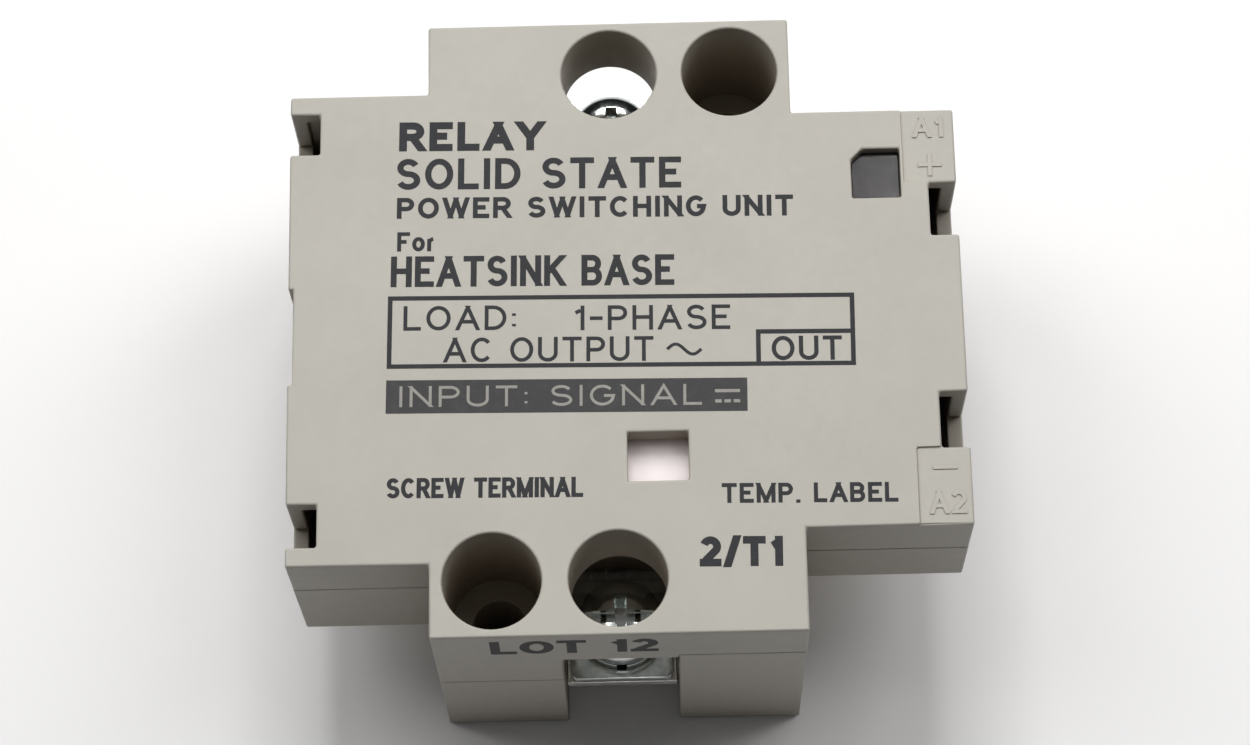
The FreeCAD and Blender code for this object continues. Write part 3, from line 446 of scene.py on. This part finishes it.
def rounded_copy(node, name, body, slot, radius):
    """A piece with a node's own shape and its sharp edges rounded, which stands for that node.
    Where two edges run close beside each other, each rounding takes less than half the gap."""
    work = clean_copy(node)
    weights = work.edges.layers.float.new("bevel_weight_edge")
    sharp = [edge for edge in work.edges if edge.calc_face_angle() > SHARP]
    for edge, room in zip(sharp, room_beside(sharp)):
        edge[weights] = min(1.0, ROUNDING_SHARE * room / radius)
    flats = work.faces.layers.int.new("flat")
    for face in work.faces:
        bends = [edge.calc_face_angle(0.0) for edge in face.edges]
        face[flats] = all(bend < SLIGHT or bend > SHARP for bend in bends)
    mesh = bpy.data.meshes.new(name)
    work.to_mesh(mesh)
    work.free()
    mesh.shade_smooth()
    obj = add_piece(name, mesh, body, slot, stands_for=(node,))
    # The second material only marks the rounded edges until flatten_faces has read it.
    mesh.materials.append(mesh.materials[0])
    bevel = obj.modifiers.new("rounding", "BEVEL")
    bevel.limit_method = "WEIGHT"
    bevel.width = radius
    bevel.segments = ROUNDING_STEPS
    bevel.use_clamp_overlap = False
    bevel.loop_slide = False
    bevel.material = 1
    graph = bpy.context.evaluated_depsgraph_get()
    obj.data = bpy.data.meshes.new_from_object(obj.evaluated_get(graph))
    obj.modifiers.clear()
    flatten_faces(obj.data)


def flatten_faces(mesh):
    """Shade flat faces as flat, and let each rounded edge start and end level with them."""
    flat = mesh.attributes["flat"].data
    is_flat = [face.material_index == 0 and flat[face.index].value > 0 for face in mesh.polygons]
    level = {}
    for face in mesh.polygons:
        if is_flat[face.index]:
            for corner in face.vertices:
                level.setdefault(corner, []).append(face.normal.copy())
    unset = Vector((0, 0, 0))
    normals = []
    for face in mesh.polygons:
        for corner in face.vertices:
            if is_flat[face.index]:
                normals.append(face.normal.copy())
            elif face.material_index == 1 and corner in level:
                normals.append(sum(level[corner], unset).normalized())
            else:
                normals.append(unset)
    mesh.normals_split_custom_set(normals)
    for face in mesh.polygons:
        face.material_index = 0
    mesh.materials.pop(index=1)


def ring_of(work, radius, height, steps, centre=(0, 0), wave=None):
    """One level ring of corners. wave adds to the radius at each angle."""
    ring = []
    for step in range(steps):
        angle = 2 * math.pi * step / steps
        reach = radius + (wave(angle) if wave else 0)
        spot = (centre[0] + reach * math.cos(angle), centre[1] + reach * math.sin(angle), height)
        ring.append(work.verts.new(spot))
    return ring


def skin(work, rings, closed=False):
    """Faces between rings that follow each other. Open ends get a face each."""
    pairs = list(zip(rings, rings[1:]))
    if closed:
        pairs.append((rings[-1], rings[0]))
    for low, high in pairs:
        count = len(low)
        for step in range(count):
            after = (step + 1) % count
            work.faces.new((low[step], low[after], high[after], high[step]))
    if not closed:
        work.faces.new(list(reversed(rings[0])))
        work.faces.new(rings[-1])


def turned_solid(profile, steps):
    """A solid of revolution from (radius, height) pairs, none of them on the axis."""
    work = bmesh.new()
    skin(work, [ring_of(work, radius, height, steps) for radius, height in profile])
    return work


def tapered_bar(low, high):
    """A bar between two level rectangles, each (half width, half length, height)."""
    work = bmesh.new()
    rings = []
    for half_width, half_length, height in (low, high):
        corners = ((-1, -1), (1, -1), (1, 1), (-1, 1))
        rings.append([work.verts.new((x * half_width, y * half_length, height)) for x, y in corners])
    skin(work, rings)
    return work


def carve(mesh, cutters):
    """The mesh with each cutter's shape taken out of it."""
    scene = bpy.context.scene
    target = bpy.data.objects.new("carve_target", mesh)
    scene.collection.objects.link(target)
    tools = []
    for cutter in cutters:
        tool = bpy.data.objects.new("carve_tool", cutter)
        scene.collection.objects.link(tool)
        step = target.modifiers.new("cut", "BOOLEAN")
        step.operation = "DIFFERENCE"
        step.solver = "EXACT"
        step.object = tool
        tools.append(tool)
    graph = bpy.context.evaluated_depsgraph_get()
    carved = bpy.data.meshes.new_from_object(target.evaluated_get(graph))
    for obj in [target, *tools]:
        bpy.data.objects.remove(obj)
    return carved


def joined(name, works):
    """Several mesh works as the separate shells of one mesh."""
    whole = bmesh.new()
    for work in works:
        part = bpy.data.meshes.new("part")
        work.to_mesh(part)
        work.free()
        whole.from_mesh(part)
        bpy.data.meshes.remove(part)
    return mesh_from(whole, name)


# ---------------------------------------------------------------- case

def build_case():
    rounded_copy("upper_case", "cover_moulding", "case", "case_plastic", 0.28 * MM)
    rounded_copy("lower_case", "base_moulding", "case", "case_plastic", 0.22 * MM)
    rounded_copy("base_plate", "heatsink_plate", "case", "base_metal", 0.25 * MM)
    rounded_copy("led_lens", "led_window_lens", "case", "lens_smoke", 0.18 * MM)


# ---------------------------------------------------------------- printed and raised marks

# A plain pen alphabet. A glyph is its width and its pen lines on a height of 1. A line's items are
# points, or arcs as (centre x, centre y, reach x, reach y, first degree, last degree). A line whose
# last item is CLOSED joins its own start.
CLOSED = "closed"
GLYPHS = {
    " ": (0.20, []),
    "A": (0.74, [[(0, 0), (0.37, 1), (0.74, 0)], [(0.12, 0.32), (0.62, 0.32)]]),
    "B": (0.62, [
        [(0, 0), (0, 1)],
        [(0, 1), (0.34, 0.76, 0.24, 0.24, 90, -90), (0, 0.52)],
        [(0, 0.52), (0.36, 0.26, 0.26, 0.26, 90, -90), (0, 0)],
    ]),
    "C": (0.70, [[(0.37, 0.5, 0.37, 0.5, 42, 318)]]),
    "D": (0.68, [[(0, 0), (0, 1), (0.25, 0.5, 0.43, 0.5, 90, -90), CLOSED]]),
    "E": (0.56, [[(0.56, 1), (0, 1), (0, 0), (0.56, 0)], [(0, 0.52), (0.50, 0.52)]]),
    "F": (0.54, [[(0.54, 1), (0, 1), (0, 0)], [(0, 0.50), (0.46, 0.50)]]),
    "G": (0.74, [[(0.37, 0.5, 0.37, 0.5, 42, 335), (0.74, 0.48), (0.42, 0.48)]]),
    "H": (0.64, [[(0, 0), (0, 1)], [(0.64, 0), (0.64, 1)], [(0, 0.52), (0.64, 0.52)]]),
    "I": (0.02, [[(0.01, 0), (0.01, 1)]]),
    "K": (0.62, [[(0, 0), (0, 1)], [(0.58, 1), (0, 0.40)], [(0.20, 0.60), (0.62, 0)]]),
    "L": (0.52, [[(0, 1), (0, 0), (0.52, 0)]]),
    "M": (0.84, [[(0, 0), (0, 1), (0.42, 0), (0.84, 1), (0.84, 0)]]),
    "N": (0.64, [[(0, 0), (0, 1), (0.64, 0), (0.64, 1)]]),
    "O": (0.78, [[(0.39, 0.5, 0.39, 0.5, 0, 345), CLOSED]]),
    "P": (0.60, [[(0, 0), (0, 1)], [(0, 1), (0.34, 0.73, 0.26, 0.27, 90, -90), (0, 0.46)]]),
    "R": (0.64, [
        [(0, 0), (0, 1)],
        [(0, 1), (0.36, 0.74, 0.26, 0.26, 90, -90), (0, 0.48)],
        [(0.34, 0.48), (0.62, 0)],
    ]),
    "S": (0.62, [[(0.30, 0.755, 0.28, 0.245, 22, 270), (0.31, 0.255, 0.31, 0.255, 90, -160)]]),
    "T": (0.62, [[(0, 1), (0.62, 1)], [(0.31, 1), (0.31, 0)]]),
    "U": (0.64, [[(0, 1), (0.32, 0.32, 0.32, 0.32, 180, 360), (0.64, 1)]]),
    "W": (1.04, [[(0, 1), (0.26, 0), (0.52, 1), (0.78, 0), (1.04, 1)]]),
    "Y": (0.66, [[(0, 1), (0.33, 0.44), (0.66, 1)], [(0.33, 0.44), (0.33, 0)]]),
    "o": (0.54, [[(0.27, 0.34, 0.27, 0.34, 0, 345), CLOSED]]),
    "r": (0.28, [[(0, 0), (0, 0.68)], [(0.27, 0.40, 0.27, 0.27, 180, 95)]]),
    "1": (0.28, [[(0.27, 0), (0.27, 1)], [(0, 0.74), (0.20, 0.86)]]),
    "2": (0.58, [[(0.29, 0.71, 0.28, 0.29, 160, -32), (0.07, 0.08)], [(0, 0), (0.58, 0)]]),
    "/": (0.34, [[(0, -0.04), (0.34, 1.04)]]),
    "-": (0.34, [[(0, 0.48), (0.34, 0.48)]]),
    ".": (0.02, [[(0.01, -0.02), (0.01, 0.06)]]),
    ":": (0.02, [[(0.01, 0.08), (0.01, 0.20)], [(0.01, 0.58), (0.01, 0.70)]]),
}
LETTER_GAP = 0.20
ARC_STEP = 15
SAME_POINT = 1e-4

# Places on the printed face are in millimetres from the frame's origin, and pens are too.
PRINT_TURN = math.radians(-0.9)
PRINT_MIDDLE = Vector((0.8, -1.2, 0)) * MM
INK_SUNK, INK_PROUD = 0.008 * MM, 0.010 * MM
PRINT_HEIGHTS = (FACE - INK_SUNK, FACE + INK_PROUD)
PALE_HEIGHTS = (FACE, FACE + INK_PROUD + 0.006 * MM)

# name, words, left, right, low, high, pen
PRINTED_LINES = (
    ("title", "RELAY", -22.4, -7.3, 18.95, 22.25, 0.82),
    ("kind", "SOLID STATE", -22.6, 7.1, 14.6, 18.1, 0.66),
    ("use", "POWER SWITCHING UNIT", -22.5, 18.7, 11.35, 13.7, 0.50),
    ("for", "For", -22.4, -18.4, 7.7, 9.85, 0.42),
    ("base", "HEATSINK BASE", -23.0, 6.3, 3.75, 7.15, 0.62),
    ("load", "LOAD:", -21.6, -10.0, -1.05, 1.65, 0.40),
    ("phase", "1-PHASE", -4.1, 12.0, -1.15, 1.55, 0.40),
    ("supply", "AC OUTPUT", -17.4, 4.1, -4.55, -1.85, 0.40),
    ("out", "OUT", 16.2, 23.4, -4.6, -1.95, 0.44),
    ("screws", "SCREW TERMINAL", -23.0, -3.1, -19.1, -16.95, 0.44),
    ("temp", "TEMP. LABEL", 10.9, 28.7, -19.85, -17.75, 0.42),
    ("terminal", "2/T1", 8.6, 17.0, -26.5, -23.35, 0.80),
)
PALE_LINES = (("input", "INPUT: SIGNAL", -21.9, 9.0, -9.35, -7.1, 0.30),)
STAMP_WORDS, STAMP_BOX, STAMP_PEN = "LOT 12", (-13.1, 3.9, 28.5, 33.3), 1.00
FRAME_PEN = 0.48
LOAD_FRAME = (-23.0, 24.55, -4.95, 2.5)
OUT_FRAME = (14.85, 24.55, -4.95, -1.45)
INPUT_PANEL = (-23.25, 13.65, -10.05, -6.45)
WAVE = (5.5, 9.0, -3.3, 0.55, 0.34)
DIRECT = (10.35, 12.9, -8.95, -7.85, 0.34)
WAVE_STEPS = 24
DASHES, DASH_SHARE = 3, 0.7


def pen_line(items):
    """A glyph line's points, its arcs worked out, and whether it is closed."""
    points = []
    for item in items:
        if item == CLOSED:
            continue
        if len(item) == 2:
            points.append(item)
            continue
        x, y, reach_x, reach_y, first, last = item
        steps = max(1, round(abs(last - first) / ARC_STEP))
        for step in range(steps + 1):
            angle = math.radians(first + (last - first) * step / steps)
            points.append((x + reach_x * math.cos(angle), y + reach_y * math.sin(angle)))
    distinct = points[:1]
    for last, spot in zip(points, points[1:]):
        if math.dist(spot, last) > SAME_POINT:
            distinct.append(spot)
    return distinct, items[-1] == CLOSED


def slope_of(start, end):
    length = math.dist(start, end)
    return (end[0] - start[0]) / length, (end[1] - start[1]) / length


STEEP, LEVEL = 0.5, 0.9
AT_LIMIT = 0.001


def cap(end, slope, pen, limits):
    """Where a band's end lies and which way its two corners are from there. On the edge of its
    letter's room a band ends level with that edge, and elsewhere it ends square."""
    left, right, low, high = limits
    side = (-slope[1] * pen / 2, slope[0] * pen / 2)
    if abs(slope[1]) > STEEP and (end[1] > high - AT_LIMIT or end[1] < low + AT_LIMIT):
        grow = pen / 2 / abs(slope[1])
        return (end[0] + slope[0] * grow, end[1] + slope[1] * grow), (math.copysign(grow, side[0]), 0)
    if abs(slope[0]) > LEVEL and (end[0] > right - AT_LIMIT or end[0] < left + AT_LIMIT):
        return (end[0] + slope[0] * pen / 2, end[1] + slope[1] * pen / 2), side
    return end, side


def band(work, line, pen, heights, limits, closed=False):
    """A flat solid band along a line of points, all in millimetres, with mitred corners."""
    under, over = heights
    count = len(line)
    ribs = []
    for spot, here in enumerate(line):
        before = slope_of(line[spot - 1], here) if closed or spot else None
        after = slope_of(here, line[(spot + 1) % count]) if closed or spot < count - 1 else None
        if before and after:
            middle, across = here, ((before[0] + after[0]) / 2, (before[1] + after[1]) / 2)
            grow = pen / 2 / (across[0] ** 2 + across[1] ** 2)
            side = (-across[1] * grow, across[0] * grow)
        elif after:
            middle, side = cap(here, (-after[0], -after[1]), pen, limits)
            side = (-side[0], -side[1])
        else:
            middle, side = cap(here, before, pen, limits)
        rib = []
        for sign, height in ((1, under), (-1, under), (-1, over), (1, over)):
            x, y = middle[0] + sign * side[0], middle[1] + sign * side[1]
            rib.append(work.verts.new((x * MM, y * MM, height)))
        ribs.append(rib)
    skin(work, ribs, closed)


OPEN_ROOM = (-99, 99, -99, 99)
SHARPEST_MITRE = 0.2
PEN_STEP = 0.0015 * MM


def stroke(work, line, pen, heights, closed=False, limits=OPEN_ROOM, order=0):
    """Bands along a line, a new one after each turn too sharp to mitre. Each next band lies a
    touch higher, so that bands never share a face. Returns the next band's order."""
    runs = [[line[0]]]
    for spot, here in enumerate(line[1:], start=1):
        runs[-1].append(here)
        if spot < len(line) - 1:
            before, after = slope_of(line[spot - 1], here), slope_of(here, line[spot + 1])
            if ((before[0] + after[0]) / 2) ** 2 + ((before[1] + after[1]) / 2) ** 2 < SHARPEST_MITRE:
                runs.append([here])
    for run in runs:
        lifted = (heights[0], heights[1] + order * PEN_STEP)
        band(work, run, pen, lifted, limits, closed)
        order += 1
    return order


def write_words(work, words, left, right, low, high, pen, heights):
    """Words in the pen alphabet, spread to fill a box in millimetres."""
    gap = LETTER_GAP + pen / (high - low)
    total = sum(GLYPHS[letter][0] for letter in words) + gap * (len(words) - 1)
    wide = (right - left - pen) / total
    tall = high - low - pen
    start = 0.0
    for letter in words:
        width, lines = GLYPHS[letter]
        near = left + pen / 2 + start * wide
        limits = (near, near + width * wide, low + pen / 2, high - pen / 2)
        order = 0
        for items in lines:
            points, closed = pen_line(items)
            placed = [(near + x * wide, low + pen / 2 + y * tall) for x, y in points]
            order = stroke(work, placed, pen, heights, closed, limits, order)
        start += width + gap
    return work


def corners_of(left, right, low, high):
    return [(left, low), (right, low), (right, high), (left, high)]


def add_print(name, work, material, slot="print_ink"):
    """A print piece, turned with the whole print, which sits a little askew on the face."""
    turn = Matrix.Rotation(PRINT_TURN, 3, "Z")
    bmesh.ops.rotate(work, cent=PRINT_MIDDLE, matrix=turn, verts=work.verts)
    add_piece(f"print_{name}", mesh_from(work, name), "case", slot, material)


def build_print():
    for name, words, *box, pen in PRINTED_LINES:
        add_print(name, write_words(bmesh.new(), words, *box, pen, PRINT_HEIGHTS), INK)
    for name, words, *box, pen in PALE_LINES:
        add_print(name, write_words(bmesh.new(), words, *box, pen, PALE_HEIGHTS), PALE_INK, "pale_ink")
    for order, (name, sides) in enumerate((("load_frame", LOAD_FRAME), ("out_frame", OUT_FRAME))):
        work = bmesh.new()
        stroke(work, corners_of(*sides), FRAME_PEN, PRINT_HEIGHTS, closed=True, order=order)
        add_print(name, work, INK)

    left, right, low, high = INPUT_PANEL
    panel = bmesh.new()
    middle = (low + high) / 2
    stroke(panel, [(left, middle), (right, middle)], high - low, PRINT_HEIGHTS)
    add_print("input_panel", panel, PANEL_INK)

    # The lot stamp stands on the front wall, and its pen lines are turned up on to it.
    stamp = write_words(bmesh.new(), STAMP_WORDS, *STAMP_BOX, STAMP_PEN, (-INK_SUNK, INK_PROUD))
    upright = Matrix.Rotation(math.radians(90), 3, "X")
    bmesh.ops.rotate(stamp, cent=(0, 0, 0), matrix=upright, verts=stamp.verts)
    bmesh.ops.translate(stamp, vec=(0, CASE_LOW.y, 0), verts=stamp.verts)
    add_piece("print_lot", mesh_from(stamp, "lot"), "case", "print_ink", FADED_INK)

    left, right, middle, rise, pen = WAVE
    wave = bmesh.new()
    stroke(wave, [
        (
            left + (right - left) * step / WAVE_STEPS,
            middle + rise * math.sin(2 * math.pi * step / WAVE_STEPS),
        )
        for step in range(WAVE_STEPS + 1)
    ], pen, PRINT_HEIGHTS)
    add_print("alternating_sign", wave, INK)

    left, right, low, high, pen = DIRECT
    direct = bmesh.new()
    stroke(direct, [(left, high), (right, high)], pen, PALE_HEIGHTS)
    pitch = (right - left) / (DASHES - 1 + DASH_SHARE)
    for dash in range(DASHES):
        start = left + dash * pitch
        stroke(direct, [(start, low), (start + DASH_SHARE * pitch, low)], pen, PALE_HEIGHTS)
    add_print("direct_sign", direct, PALE_INK, "pale_ink")


TILE_DEPTH = 0.25 * MM
MARK_SUNK, MARK_PROUD = 0.05 * MM, 0.11 * MM
MARK_PEN = 0.42
RAISED_WORDS = (("a1", "A1", 31.7, 34.9, 19.6, 21.9), ("a2", "A2", 31.6, 35.3, -21.6, -19.15))
SIGN_MIDDLE, SIGN_HALF = 33.3, 1.25
PLUS_PLACE, MINUS_PLACE = 16.5, -16.66


def build_raised_marks():
    """The input terminals' marks stand up a little from their recessed tiles."""
    heights = (FACE - TILE_DEPTH - MARK_SUNK, FACE - TILE_DEPTH + MARK_PROUD)
    for name, words, *box in RAISED_WORDS:
        work = write_words(bmesh.new(), words, *box, MARK_PEN, heights)
        add_piece(f"mark_{name}", mesh_from(work, name), "case", "case_plastic")
    for name, place in (("plus", PLUS_PLACE), ("minus", MINUS_PLACE)):
        work = bmesh.new()
        level = [(SIGN_MIDDLE - SIGN_HALF, place), (SIGN_MIDDLE + SIGN_HALF, place)]
        stroke(work, level, MARK_PEN, heights)
        if name == "plus":
            for side in (-1, 1):
                reach = (place + side * MARK_PEN / 2, place + side * SIGN_HALF)
                stroke(work, [(SIGN_MIDDLE, y) for y in sorted(reach)], MARK_PEN, heights)
        add_piece(f"mark_{name}", mesh_from(work, name), "case", "case_plastic")


# ---------------------------------------------------------------- load terminals

HEAD_HEIGHT = 3.2 * MM
HEAD_STEPS, THREAD_STEPS = 96, 48
LEVELS_PER_TURN = 8


def screw_head(low, high, centre):
    """A pan head whose side runs into its crown in one curve, with its cross and slot cut in."""
    radius = 4.4 * MM
    neck, crown = 2.3 * MM, 0.4 * MM
    rim = 1.25 * MM
    edge = 0.15 * MM
    profile = [(neck, low), (radius - edge, low), (radius, low + edge), (radius, low + rim)]
    bends = 12
    square = 2.7
    for step in range(1, bends):
        turn = math.pi / 2 * step / bends
        reach = math.cos(turn) ** (2 / square) * radius
        rise = math.sin(turn) ** (2 / square) * (high - low - rim)
        profile.append((reach, low + rim + rise))
    profile.append((crown, high))
    head = mesh_from(turned_solid(profile, HEAD_STEPS), "head")
    over = high + 0.4 * MM
    wing = ((0.42 * MM, 1.5 * MM, high - 2.2 * MM), (0.68 * MM, 2.85 * MM, over))
    across = tuple((length, width, height) for width, length, height in wing)
    slot = ((0.62 * MM, 6 * MM, high - 1.05 * MM), (0.68 * MM, 6 * MM, over))
    slot_across = tuple((length, width, height) for width, length, height in slot)
    cutters = [
        mesh_from(tapered_bar(*wing), "wing"),
        mesh_from(tapered_bar(*across), "across"),
        mesh_from(tapered_bar(*slot_across), "slot"),
    ]
    carved = carve(head, cutters)
    work = bmesh.new()
    work.from_mesh(carved)
    bmesh.ops.translate(work, vec=(*centre, 0), verts=work.verts)
    return work


def screw_thread(low, high, centre):
    """An M5 thread as one wound surface. It runs out under the head, and narrows at the tip."""
    radius, pitch, depth = 2.44 * MM, 0.8 * MM, 0.42 * MM
    run_out_turns, tip_turns = 1.2, 0.8
    tip_depth = 0.55 * MM
    levels = round((high - low) / (pitch / LEVELS_PER_TURN))
    work = bmesh.new()
    rings = []
    for level in range(levels + 1):
        height = low + (high - low) * level / levels
        from_tip = (height - low) / pitch
        from_head = (high - height) / pitch
        run_out = min(1.0, from_head / run_out_turns)
        point = tip_depth * max(0.0, 1.0 - from_tip / tip_turns)

        def wave(angle, height=height, run_out=run_out, point=point):
            phase = (height / pitch - angle / (2 * math.pi)) % 1.0
            return -depth * (1 - abs(2 * phase - 1)) * run_out - point

        rings.append(ring_of(work, radius, height, THREAD_STEPS, centre, wave))
    skin(work, rings)
    return work


def build_screw(end):
    low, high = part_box(f"terminal_screw_{end}")
    centre = ((low.x + high.x) / 2, (low.y + high.y) / 2)
    underside = high.z - HEAD_HEIGHT
    into_head = 0.1 * MM
    head = screw_head(underside, high.z, centre)
    thread = screw_thread(low.z, underside + into_head, centre)
    mesh = soften(joined(f"load_screw_{end}", [head, thread]), 28)
    add_piece(
        f"load_screw_{end}", mesh, f"{end}_screw", "terminal_steel", stands_for=(f"terminal_screw_{end}",),
    )


def build_spring_washer(end):
    """A split ring cut from square wire, its two ends sprung slightly apart in height."""
    low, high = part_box(f"spring_washer_{end}")
    centre = Vector(((low.x + high.x) / 2, (low.y + high.y) / 2, 0))
    facing = math.pi / 2 if end == "rear" else -math.pi / 2
    inner, outer = 2.66 * MM, 4.48 * MM
    thickness = 1.22 * MM
    spring = high.z - low.z - thickness
    gap = math.radians(7)
    steps, bends = 72, 3
    corner = 0.14 * MM
    section = []
    for along, up, start in ((outer, 1, 0), (inner, 1, 1), (inner, 0, 2), (outer, 0, 3)):
        inward = corner if along == inner else -corner
        middle_up = thickness * up + (corner if up == 0 else -corner)
        for bend in range(bends + 1):
            angle = math.pi / 2 * (start + bend / bends)
            section.append((along + inward + corner * math.cos(angle), middle_up + corner * math.sin(angle)))
    work = bmesh.new()
    rings = []
    for step in range(steps + 1):
        share = step / steps
        angle = facing + gap + (2 * math.pi - 2 * gap) * share
        lift = low.z + spring * share
        ring = []
        for reach, up in section:
            spot = centre + Vector((reach * math.cos(angle), reach * math.sin(angle), lift + up))
            ring.append(work.verts.new(spot))
        rings.append(ring)
    skin(work, rings)
    mesh = soften(mesh_from(work, f"split_washer_{end}"), 50)
    add_piece(
        f"split_washer_{end}", mesh, f"{end}_clamp", "terminal_steel", stands_for=(f"spring_washer_{end}",),
    )


def build_terminals():
    for end in ENDS:
        build_screw(end)
        build_spring_washer(end)
        rounded_copy(
            f"square_washer_{end}", f"clamp_plate_{end}", f"{end}_clamp", "terminal_steel", 0.16 * MM,
        )
        rounded_copy(
            f"terminal_plate_{end}", f"terminal_strip_{end}", "case", "terminal_brass", 0.16 * MM,
        )
        rounded_copy(f"terminal_nut_{end}", f"captive_nut_{end}", "case", "terminal_steel", 0.22 * MM)


# ---------------------------------------------------------------- the scene

place_camera()
place_light()
build_floor(floor_paper("floor_paper"))
dress_cad_nodes()
build_case()
build_print()
build_raised_marks()
build_terminals()
